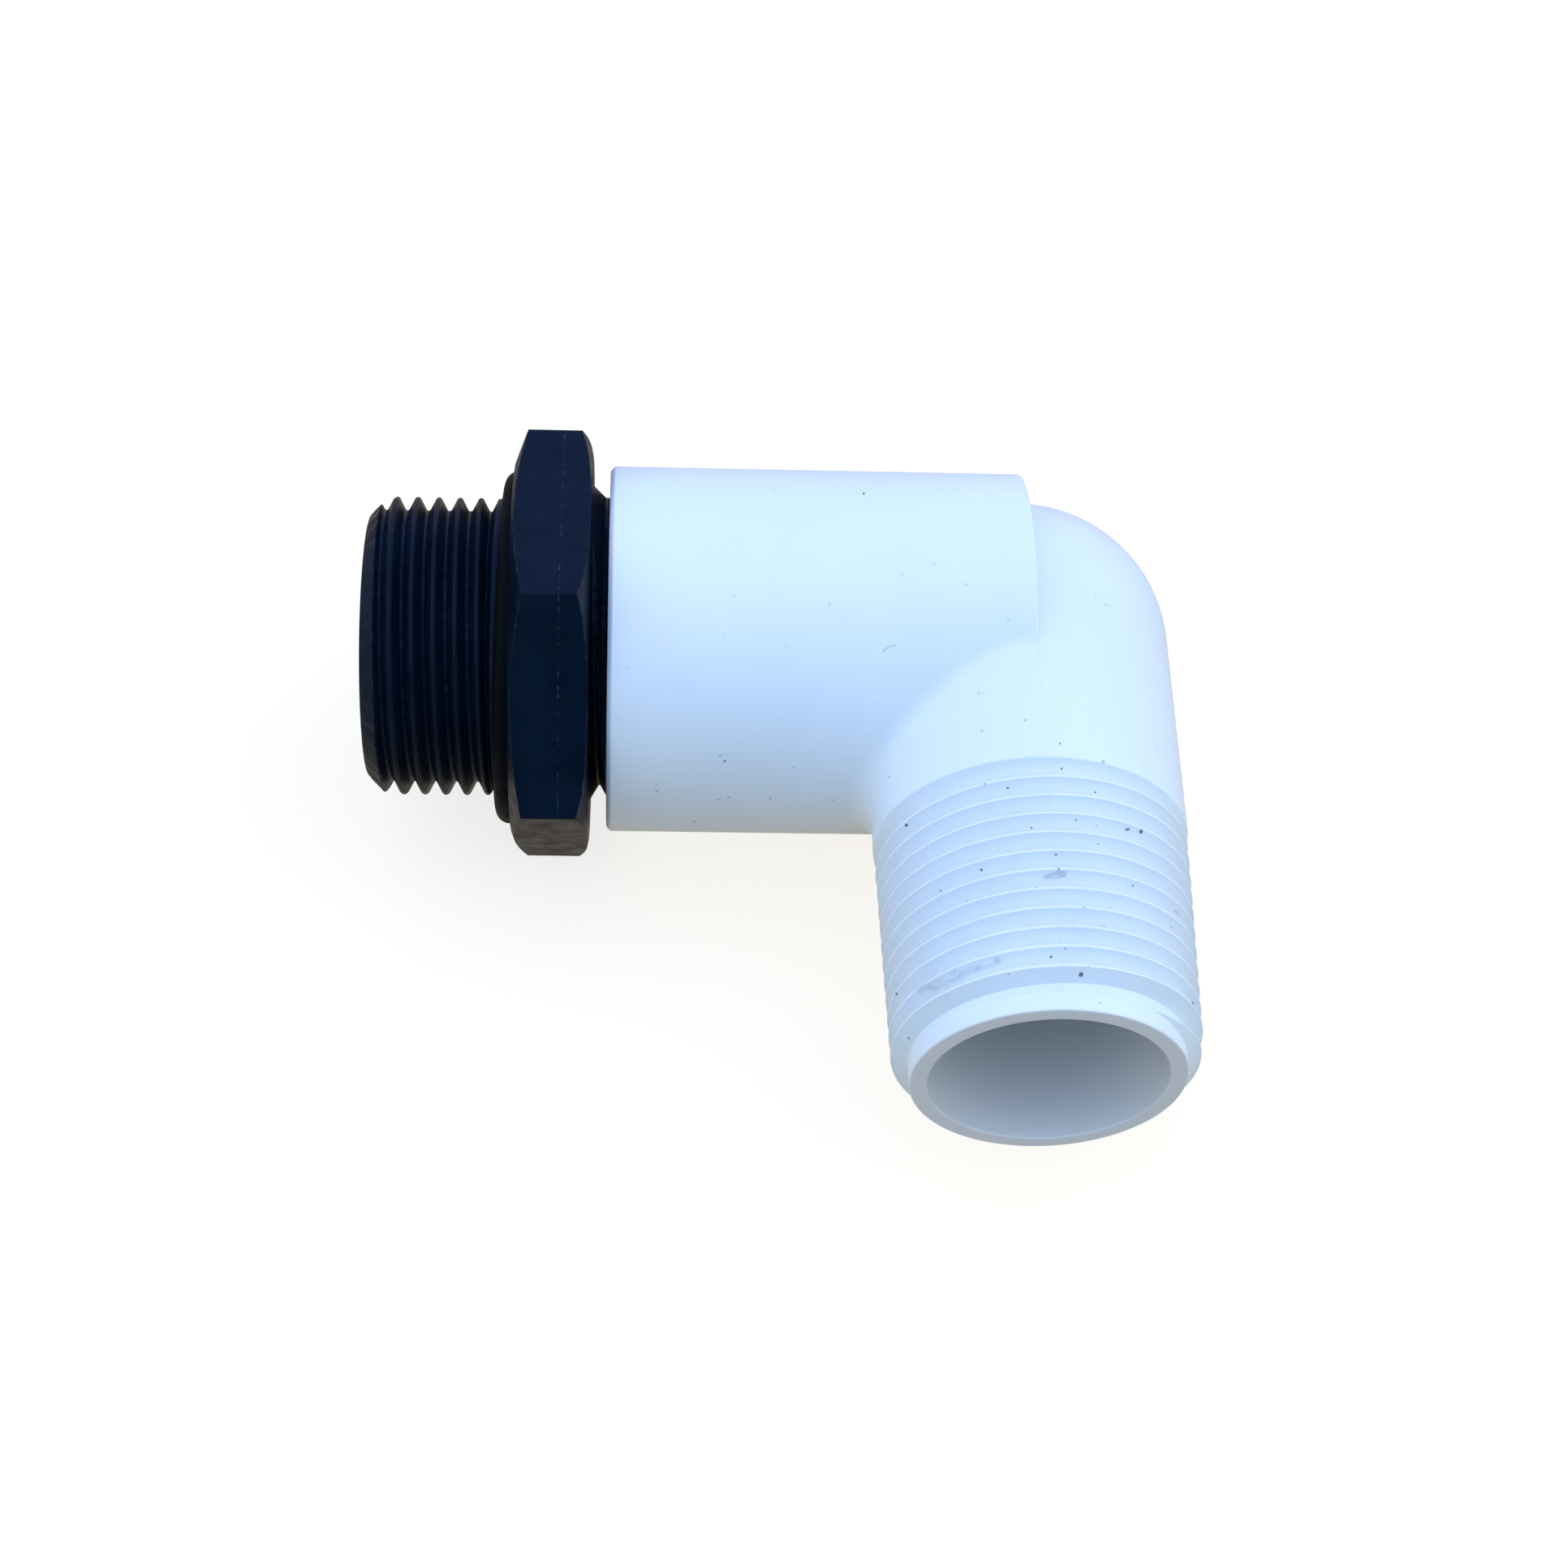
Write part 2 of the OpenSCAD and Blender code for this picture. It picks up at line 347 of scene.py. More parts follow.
def smooth_noise(x, seed, period):
    """Smooth 1D noise in -1..1 at positions x."""
    table = np.random.default_rng(seed).uniform(-1, 1, 4096)
    place = np.asarray(x) / period
    i = np.floor(place).astype(int)
    part = place - i
    part = part * part * (3 - 2 * part)
    return table[i % 4096] * (1 - part) + table[(i + 1) % 4096] * part


# -------------------------------------------------------------- elbow body
def leg_radius(z):
    z = np.asarray(z, float)
    return BEND_R + (COLLAR_R - BEND_R) * np.clip(z / (COLLAR_END - 0.2), 0, 1)


def hub_field(x, y, z):
    """Distance to the hub and the root of the leg, with a fillet between them."""
    from_hub_axis = np.sqrt(y * y + z * z) + 1e-9
    from_leg_axis = np.sqrt(x * x + z * z) + 1e-9
    hub = from_hub_axis - HUB_R
    leg = from_leg_axis - (leg_radius(-y) - 0.008)
    # cosine of the angle between the two surfaces' normals
    cosine = np.clip(z * z / (from_hub_axis * from_leg_axis), 0, 0.97)
    u, v = hub - HUB_FILLET, leg - HUB_FILLET
    in_fillet = (u <= v * cosine) & (v <= u * cosine) & (y < -2)
    square = np.maximum(u * u + v * v - 2 * u * v * cosine, 0)
    fillet = HUB_FILLET - np.sqrt(square / (1 - cosine * cosine))
    d = np.where(in_fillet, fillet, np.minimum(hub, np.maximum(leg, y + 5)))
    d = np.maximum(d, -x - (HUB_END + 1.5))
    d = np.maximum(d, x - 3)
    return np.maximum(d, -y - 22.5)


def shoulder_cut():
    """Everything past the hub's closed end, with a small edge radius."""
    edge = 0.22
    path = [(-6, 0), (-6, HUB_CUT_R), (HUB_BACK + edge, HUB_CUT_R)]
    path += arc(HUB_BACK + edge, HUB_R - edge, edge, 90, 180, 6)
    path += [(HUB_BACK, 0)]
    return revolve("shoulder_cut", path, 256, on_hub)


def mouth_cut():
    """Everything past the hub's mouth, with a broken outer edge."""
    edge = 0.45
    path = [
        (HUB_END, 0),
        (HUB_END, HUB_R - edge - 0.06),
        (HUB_END - 0.05, HUB_R - edge + 0.04),
        (HUB_END - edge + 0.04, HUB_R - 0.05),
        (HUB_END - edge - 0.06, HUB_R),
        (HUB_END - edge - 0.06, HUB_CUT_R),
        (HUB_END + 3, HUB_CUT_R),
        (HUB_END + 3, 0),
    ]
    return revolve("mouth_cut", path, 256, on_hub)


def hub_casing():
    side = HUB_R + 1.1
    lo, hi = (-HUB_END - 2.4, -23.6, -side), (4.1, side, side)
    hub = solid("elbow_moulding", *surface_nets(hub_field, lo, hi, cell=0.36))
    boolean(hub, shoulder_cut(), "DIFFERENCE")
    boolean(hub, mouth_cut(), "DIFFERENCE")
    return hub


def leg_core():
    """Ball at the bend, widening collar, thread root and plain nose."""
    start = COLLAR_END + 1.1
    edge = 0.22
    path = [(-BEND_R, 0)]
    path += arc(0, 0, BEND_R, 180 - 1.875, 90, 48)
    path += [(z, float(leg_radius(z))) for z in np.linspace(1.5, COLLAR_END - 0.35, 14)]
    path += [(COLLAR_END - 0.16, COLLAR_R - 0.02), (COLLAR_END - 0.02, COLLAR_R - 0.11)]
    path += [(start, leg_crest(start) - TAPER_DEPTH)]
    path += [(z, leg_crest(z) - TAPER_DEPTH) for z in np.linspace(start + 1, NOSE_AT + 0.9, 12)]
    path += [(NOSE_AT + 1.05, NOSE_R), (NOSE_AT + 2.0, NOSE_R)]
    path += arc(LEG_END - edge, NOSE_R - edge, edge, 90, 0, 5)
    path += [(LEG_END, 0)]
    return revolve("leg", path, 288, on_leg)


def leg_thread():
    top = NOSE_AT - 0.84
    start = top - 10.75 * TAPER_PITCH
    z, angle = helix(start, TAPER_PITCH, turns=349 / 30, steps=144, angle=math.pi)
    # the ridge grows at its start and fades at its end
    stations = [start, start + 0.25, start + 0.7, start + 1.3, top + 1.55, top + 1.75, top + 1.96]
    scale = np.interp(z, stations, [0.05, 0.35, 0.85, 1, 1, 0.8, 0.05])
    crest = leg_crest(z) - 0.012 + 0.012 * smooth_noise(angle * 16, 3, 9.0)
    form = [(0.0, 0.045), (0.014, 0.092), (0.05, 0.128), (0.15, CREST_HALF + 0.15 * TAN_30 + 0.006)]
    form += flanks(0.5, 1.0, 1.5, TAPER_DEPTH + 0.1)
    base = crest - TAPER_DEPTH - 0.12
    return thread("leg_ridge", z, angle, crest, base, form, scale, on_leg)


def leg_bore():
    edge = 0.13
    path = [(-LEG_BORE_R, 0)]
    path += arc(0, 0, LEG_BORE_R, 180 - 2.5, 90, 36)
    path += [(z, LEG_BORE_R) for z in np.linspace(2, LEG_END - 0.3, 20)]
    path += [(LEG_END - edge + edge * math.sin(t), LEG_BORE_R + edge - edge * math.cos(t))
             for t in np.radians([15, 35, 55, 75, 90])]
    path += [(LEG_END + 0.6, LEG_BORE_R + edge), (LEG_END + 0.6, 0)]
    return revolve("leg_bore", path, 256, on_leg)


def socket():
    """Passage, tapered socket and bevelled mouth."""
    start = HUB_END - SOCKET_DEPTH
    inner = stub_root(start) + SOCKET_GAP
    outer = stub_root(HUB_END) + SOCKET_GAP
    bevel = STUB_CREST_R + 0.55
    bevel_at = HUB_END + 0.3 - (bevel - outer) * (2.2 / (bevel - outer + 0.3))
    path = [(0, 0), (0.02, PASSAGE_R), (start - 1.2, PASSAGE_R), (start, inner)]
    path += [(z, inner + (outer - inner) * (z - start) / SOCKET_DEPTH)
             for z in np.linspace(start + 2, bevel_at - 0.3, 10)]
    path += [(bevel_at, outer), (HUB_END + 0.3, bevel), (HUB_END + 1.1, bevel), (HUB_END + 1.1, 0)]
    return revolve("socket", path, 256, on_hub)


def socket_groove():
    start = HUB_END - 20.3
    z, angle = helix(start, TAPER_PITCH, turns=9.8, steps=96, angle=stub_phase(start))
    scale = np.interp(z, [start, start + 0.9], [0.1, 1])
    crest = stub_crest(z) + SOCKET_GAP
    form = [(0.0, 0.03), (0.03, 0.09), (0.12, 0.13)] + flanks(0.8, TAPER_DEPTH + 0.08)
    base = crest - TAPER_DEPTH - 0.1
    return thread("groove", z, angle, crest, base, form, scale, on_hub)


def build_elbow():
    hub = hub_casing()
    leg = leg_core()
    boolean(leg, leg_thread(), "UNION")
    boolean(hub, leg, "UNION")
    for tool in (leg_bore, socket, socket_groove):
        boolean(hub, tool(), "DIFFERENCE")
    return hub


# ------------------------------------------------------------- hex adapter
ADAPTER_SEGMENTS = 256
STUB_TIP_R = stub_root(STUB_END) - 0.3


def adapter_core():
    """Stub root, ring seat and parallel thread root."""
    path = [(STUB_END, 0), (STUB_END, STUB_TIP_R - 0.1), (STUB_END + 0.1, STUB_TIP_R)]
    path += [(STUB_END + 0.5, stub_root(STUB_END + 0.5))]
    path += [(z, stub_root(z)) for z in np.linspace(STUB_END + 2, HEX_NEAR, 8)]
    path += [(HEX_NEAR + 0.5, stub_root(HEX_NEAR)), (HEX_NEAR + 0.9, SEAT_R)]
    path += [(HEX_FAR + 1.5, SEAT_R), (HEX_FAR + 1.9, SEAT_R - 0.06), (HEX_FAR + 2.6, PAR_ROOT_R)]
    path += [(z, PAR_ROOT_R) for z in np.linspace(HEX_FAR + 4, ADAPTER_END - 1.5, 6)]
    path += [(ADAPTER_END - (PAR_ROOT_R - 14.4), PAR_ROOT_R), (ADAPTER_END - 0.12, 14.52)]
    path += [(ADAPTER_END - 0.02, 14.36), (ADAPTER_END, 14.2), (ADAPTER_END, 0)]
    return revolve("adapter_moulding", path, ADAPTER_SEGMENTS, on_hub)


def hexagon():
    """Hexagon with broken corners, chamfers on both sides and a recess in the far face."""
    points = []
    centre = HEX_FLATS / math.sqrt(3) - HEX_CORNER_R / math.cos(math.radians(30))
    for k in range(6):
        turn = HEX_FLAT_ANGLE + math.radians(30 + 60 * k)
        for spread in np.linspace(-30, 30, 7):
            t = turn + math.radians(spread)
            points.append((centre * math.cos(turn) + HEX_CORNER_R * math.cos(t),
                           centre * math.sin(turn) + HEX_CORNER_R * math.sin(t)))
    m = len(points)
    faces = [list(range(m))[::-1], list(range(m, 2 * m))]
    faces += [[i, (i + 1) % m, m + (i + 1) % m, m + i] for i in range(m)]
    prism = np.array([(x, y, z) for z in (HEX_NEAR, HEX_FAR) for x, y in points])
    made = solid("hexagon", on_hub(prism), faces)

    near, far = HEX_BACK_R, HEX_FACE_R
    path = [
        (HEX_NEAR - 0.5, 0), (HEX_NEAR - 0.5, near - 2.5), (HEX_NEAR, near),
        (HEX_NEAR + 0.22, near + 1.1), (HEX_NEAR + 0.55, near + 2.1),
        (HEX_NEAR + 2.78, near + 6.6), (HEX_FAR - 2.4, far + 6.6),
        (HEX_FAR - 0.02, far + 0.05), (HEX_FAR + 1, far - 2.75), (HEX_FAR + 1, 0),
    ]
    boolean(made, revolve("chamfers", path, 288, on_hub), "INTERSECT")
    floor_at = HEX_FAR - RECESS_DEPTH
    lip = RECESS_R + 0.15
    loop = [(floor_at, 13.0), (floor_at, RECESS_R), (HEX_FAR - 0.05, RECESS_R),
            (HEX_FAR + 0.1, lip), (HEX_FAR + 1, lip), (HEX_FAR + 1, 13.0)]
    boolean(made, ring_solid("recess", loop, ADAPTER_SEGMENTS, on_hub), "DIFFERENCE")
    return made


def neck():
    """Cone between hub and hexagon that the end of the thread groove cuts into."""
    start, cone_end, inner = HUB_END + 0.12, 45.87, 13.5
    loop = [
        (start, inner), (start, stub_crest(start) - 0.02),
        (cone_end, stub_crest(cone_end) - 0.02), (HEX_NEAR + 0.05, 18.15),
        (HEX_NEAR + 0.4, 18.15), (HEX_NEAR + 0.4, inner),
    ]
    made = ring_solid("neck", loop, ADAPTER_SEGMENTS, on_hub)

    groove_at, top, half = 45.32, 19.2, 0.11
    phase = stub_phase(groove_at - TAPER_PITCH / 2)
    z, angle = helix(groove_at, TAPER_PITCH, turns=0.8, steps=96, angle=phase)
    bottoms = stub_root(z) + np.interp(z, [46.3, 47.1], [0.0, 3.2])
    sections = []
    for bottom in bottoms:
        wide = half + (top - bottom) * TAN_30
        sections.append([(-half, bottom), (-wide, top), (wide, top), (half, bottom)])
    boolean(made, tube("neck_groove", z, angle, sections, on_hub), "DIFFERENCE")
    return made


def stub_thread():
    start = STUB_END - 1.2
    z, angle = helix(start, TAPER_PITCH, turns=10.3, steps=120, angle=stub_phase(start))
    form = [(0.0, 0.03), (0.03, 0.085), (0.12, 0.132)] + flanks(0.5, 1.0, TAPER_DEPTH + 0.08)
    return thread("stub_ridge", z, angle, stub_crest(z), stub_root(z) - 0.1, form,
                  np.ones(len(z)), on_hub)


def parallel_form():
    """Rounded crest, straight flanks and rounded root."""
    radius = 0.317
    height = PAR_CREST_R - PAR_ROOT_R
    half_pitch = PAR_PITCH / 2
    slope = math.tan(math.radians(27.5))

    def rounding(degrees):
        t = math.radians(degrees)
        return radius * math.cos(t), radius * math.sin(t)

    form = [(radius - c, s) for c, s in map(rounding, (8, 22, 36, 50, 62.5))]
    depth, half = form[-1]
    straight = height - 2 * depth
    form += [(depth + q * straight, half + q * straight * slope) for q in (0.33, 0.66, 1.0)]
    form += [(height - radius + c, half_pitch - s) for c, s in map(rounding, (48, 34, 20))]
    return form + [(height + 0.02, half_pitch - 0.075)]


def parallel_thread():
    """Thread beyond the hexagon, ragged near the adapter's open end."""
    start = HEX_FAR + 1.9
    phase = math.radians(55 + 360 * (start - 68.88) / PAR_PITCH)
    z, angle = helix(start, PAR_PITCH, turns=187 / 30, steps=144, angle=phase)
    scale = np.interp(z, [start, start + 0.8, start + 1.2], [0.5, 0.97, 1])
    crest = PAR_CREST_R + 0.010 * smooth_noise(angle * 16, 5, 5.0)
    ragged = np.clip((z - (ADAPTER_END - 3.6)) / 1.2, 0, 1)
    chips = 0.26 * np.minimum(smooth_noise(angle * 16, 11, 0.6), 0.15)
    jag = ragged * (chips + 0.16 * smooth_noise(angle * 16, 12, 1.9) - 0.10)
    base = np.full(len(z), PAR_ROOT_R - 0.12)
    return thread("par_ridge", z, angle, crest, base, parallel_form(), scale, on_hub, jag)


def stub_bevel():
    low, high = STUB_TIP_R - 0.5, STUB_TIP_R + 3.5
    loop = [(STUB_END - 3.2, low), (STUB_END - 3.2, high), (STUB_END + 3.5, high),
            (STUB_END - 0.5, low)]
    return ring_solid("stub_bevel", loop, ADAPTER_SEGMENTS, on_hub)


def end_bevel():
    """Uneven bevel on the parallel thread's end; only the cone's two circles wobble."""
    end = ADAPTER_END
    loop = [(end + 3.4, 13.9), (end + 0.5, 13.9), (end - 4.0, 18.4), (end + 3.4, 18.4)]

    def wobble(turn, i):
        if i not in (1, 2):
            return 0
        return 0.09 * smooth_noise(turn * 16, 21, 0.9) * (np.abs(np.sin(turn / 2)) > 0.02)

    return ring_solid("end_bevel", loop, 512, on_hub, wobble)


def adapter_bore():
    bore = ADAPTER_BORE_R
    path = [(STUB_END - 1, 0), (STUB_END - 1, bore + 0.25), (STUB_END, bore + 0.25)]
    path += [(STUB_END + 0.25, bore)]
    path += [(z, bore) for z in np.linspace(STUB_END + 2, ADAPTER_END - 2, 12)]
    path += [(ADAPTER_END - 0.3, bore), (ADAPTER_END, bore + 0.3), (ADAPTER_END + 1, bore + 0.3)]
    path += [(ADAPTER_END + 1, 0)]
    return revolve("adapter_bore", path, ADAPTER_SEGMENTS, on_hub)


def build_adapter():
    body = adapter_core()
    for part in (hexagon, neck, stub_thread, parallel_thread):
        boolean(body, part(), "UNION")
    for tool in (stub_bevel, end_bevel, adapter_bore):
        boolean(body, tool(), "DIFFERENCE")
    return body


# ------------------------------------------------------------- rubber ring
def build_ring():
    """Slightly uneven, slightly tilted ring round the adapter."""
    r = RING_THICK / 2
    centre = RING_OUTER_R - r
    turns = np.linspace(-math.pi, math.pi, 41)[:-1]
    loop = [(r * math.sin(t), centre + r * math.cos(t)) for t in turns]

    def wobble(turn, _):
        return 0.012 * np.sin(5 * turn + 1) + 0.008 * np.sin(11 * turn) - 0.012

    made = ring_solid("rubber_ring", loop, 288, lambda points: points, wobble)
    axis = Vector((math.cos(RING_TILT_AXIS), math.sin(RING_TILT_AXIS), 0))
    made.data.transform(Matrix.Rotation(-math.radians(RING_TILT), 4, axis))
    points = np.array([vertex.co for vertex in made.data.vertices])
    points[:, 2] += RING_AT
    made.data.vertices.foreach_set("co", on_hub(points).astype(np.float32).ravel())
    made.data.update()
    return made


# ------------------------------------------------------------ node helpers
class Graph:
    """Writes node arithmetic into an emptied node tree. Lengths are in metres."""

    def __init__(self, owner, coords="Object"):
        owner.use_nodes = True
        self.tree = owner.node_tree
        self.tree.nodes.clear()
        if coords:
            self.co = self.node("ShaderNodeTexCoord").outputs[coords]

    def node(self, kind, inputs=None, **settings):
        made = self.tree.nodes.new(kind)
        for key, value in settings.items():
            setattr(made, key, value)
        self.fill(made, inputs or {})
        return made

    def fill(self, node, inputs):
        """Links sockets to a node's inputs and sets plain values."""
        for key, value in inputs.items():
            if isinstance(value, bpy.types.NodeSocket):
                self.tree.links.new(value, node.inputs[key])
            else:
                node.inputs[key].default_value = value

    def math(self, op, a, b=0.0, c=None, clamp=False):
        inputs = {0: a, 1: b} if c is None else {0: a, 1: b, 2: c}
        return self.node("ShaderNodeMath", inputs, operation=op, use_clamp=clamp).outputs[0]

    def times(self, *parts):
        return reduce(lambda a, b: self.math("MULTIPLY", a, b), parts)

    def peak(self, *parts):
        return reduce(lambda a, b: self.math("MAXIMUM", a, b), parts)

    def plus(self, a, b, clamp=False):
        return self.math("ADD", a, b, clamp=clamp)

    def minus(self, a, b, clamp=False):
        return self.math("SUBTRACT", a, b, clamp=clamp)

    def radius(self, a, b):
        return self.math("SQRT", self.plus(self.times(a, a), self.times(b, b)))

    def vec(self, op, a, b=(0, 0, 0), scale=None):
        inputs = {0: a, 1: b} if scale is None else {0: a, 1: b, "Scale": scale}
        made = self.node("ShaderNodeVectorMath", inputs, operation=op)
        return made.outputs["Value" if op in ("DISTANCE", "DOT_PRODUCT") else "Vector"]

    def stretch(self, factors):
        return self.vec("MULTIPLY", self.co, factors)

    def split(self, vector):
        return self.node("ShaderNodeSeparateXYZ", {0: vector}).outputs

    def ramp(self, value, span, to=(0.0, 1.0)):
        """Smooth step over the span, from the first to the second value of 'to'."""
        inputs = {"Value": value, "From Min": span[0], "From Max": span[1],
                  "To Min": to[0], "To Max": to[1]}
        made = self.node("ShaderNodeMapRange", inputs, interpolation_type="SMOOTHSTEP")
        return made.outputs["Result"]

    def noise(self, scale, detail, rough, distort=0.0, at=None, coloured=False):
        inputs = {"Vector": at or self.co, "Scale": scale, "Detail": detail,
                  "Roughness": rough, "Distortion": distort}
        return self.node("ShaderNodeTexNoise", inputs).outputs[1 if coloured else 0]

    def voronoi(self, scale, at=None):
        made = self.node("ShaderNodeTexVoronoi", {"Vector": at or self.co, "Scale": scale})
        return made.outputs["Distance"], made.outputs["Color"]

    def mix(self, amount, a, b):
        return self.node("ShaderNodeMix", {0: amount, 6: a, 7: b}, data_type="RGBA").outputs[2]

    def specks(self, scale, size, share):
        """Mask of small spots: that share of the cells carries one."""
        distance, colour = self.voronoi(scale)
        random = self.split(colour)
        chosen = self.math("LESS_THAN", random[0], share)
        radius = self.math("MULTIPLY_ADD", random[1], size * 0.8, size * 0.35)
        near = self.minus(1.0, self.math("DIVIDE", distance, radius), clamp=True)
        return self.times(self.ramp(near, span=(0.0, 0.35)), chosen)

    def strokes(self, table, soft=0.5, at=None):
        """Mask of thin lines: (start, end, half width) in mm; soft is the solid share."""
        return self.peak(*[self.stroke(*row, soft, at or self.co) for row in table])

    def stroke(self, start, end, width, soft, at):
        start, end = Vector(start) * MM, Vector(end) * MM
        line = end - start
        offset = self.vec("SUBTRACT", at, tuple(start))
        along = self.vec("DOT_PRODUCT", offset, tuple(line))
        part = self.math("MULTIPLY", along, 1 / max(line.length_squared, 1e-14), clamp=True)
        nearest = self.vec("SCALE", tuple(line), scale=part)
        distance = self.vec("DISTANCE", offset, nearest)
        return self.ramp(distance, span=(width * MM * soft, width * MM), to=(1.0, 0.0))

    def bevel_edge(self, radius):
        """Mask of the edges, and the normal rounded over them."""
        bevel = self.node("ShaderNodeBevel", {"Radius": radius}, samples=4).outputs[0]
        normal = self.node("ShaderNodeNewGeometry").outputs["Normal"]
        return self.ramp(self.vec("DOT_PRODUCT", bevel, normal), span=(0.995, 0.90)), bevel

    def bump(self, height, distance, strength, normal=None):
        inputs = {"Strength": strength, "Distance": distance, "Height": height}
        if normal is not None:
            inputs["Normal"] = normal
        return self.node("ShaderNodeBump", inputs).outputs[0]


def new_material(name):
    material = bpy.data.materials.new(name)
    g = Graph(material)
    shader = g.node("ShaderNodeBsdfPrincipled")
    g.node("ShaderNodeOutputMaterial", {0: shader.outputs[0]})
    return material, g, shader


# --------------------------------------------------------------- materials
CAMERA_AT = (-42.407, -196.527, 256.069)  # mm

# single dark spots on the elbow: (place, radius), mm
SPOTS = [
    ((-14.04, -28.47, 7.89), 0.24), ((-7.43, -37.87, 13.95), 0.20),
    ((-0.08, -37.14, 15.83), 0.17), ((-2.3, -33.9, 15.77), 0.13),
    ((9.4, -32.29, 12.93), 0.26), ((1.47, -50.84, 15.33), 0.34),
    ((-1.35, -48.88, 15.41), 0.17), ((14.17, -48.62, 6.23), 0.24),
    ((-15.32, -45.67, 2.74), 0.2), ((1.14, -24.19, 16.91), 0.13),
    ((1.22, -26.78, 16.11), 0.15), ((-4.34, -28.86, 15.49), 0.16),
    ((4.64, -29.15, 15.4), 0.15), ((-18.11, 7.18, 18.88), 0.16),
    ((-32.8, -19.29, 5.98), 0.2),
]
# lines on the elbow: (start, end, half width), mm
DASH = [((7.69, -32.84, 13.99), (8.31, -32.11, 13.66), 0.22)]
SMUDGE = [((-1.25, -39.9, 15.72), (0.5, -39.4, 15.8), 0.55)]
LEG_SCRATCHES = [
    ((8.13, -40.05, 13.6), (11.98, -39.67, 10.3), 0.16),
    ((11.98, -39.67, 10.3), (14.33, -38.72, 6.7), 0.16),
    ((0.19, -40.36, 15.8), (4.2, -40.3, 15.2), 0.12),
]
HUB_SCRATCHES = [
    ((-16.52, -12.14, 16.14), (-16.02, -11.73, 16.45), 0.12),
    ((-16.02, -11.73, 16.45), (-15.08, -11.57, 16.56), 0.12),
    ((-38.97, 11.48, 16.62), (-38.09, 10.72, 17.12), 0.1),
    ((-35.7, 11.7, 16.47), (-33.24, 11.0, 16.94), 0.1),
]
SMEAR = [
    ((-13.3, -48.3, 8.0), (-10.15, -48.9, 11.67), 1.1),
    ((-10.15, -48.9, 11.67), (-6.5, -48.6, 14.0), 0.7),
]


def elbow_spots(g):
    """Spots as short lines along the camera's view, with a wavy outline, and one dash."""
    shift = g.vec("SUBTRACT", g.noise(2600, detail=2, rough=0.5, coloured=True), (0.5, 0.5, 0.5))
    wavy = g.vec("ADD", g.co, g.vec("SCALE", shift, scale=0.00022))
    table = []
    for place, radius in SPOTS:
        reach = (Vector(place) - Vector(CAMERA_AT)).normalized() * 1.3
        table.append((Vector(place) - reach, Vector(place) + reach, radius * 0.95))
    return g.peak(g.strokes(table, at=wavy), g.times(g.strokes(DASH), 0.9))


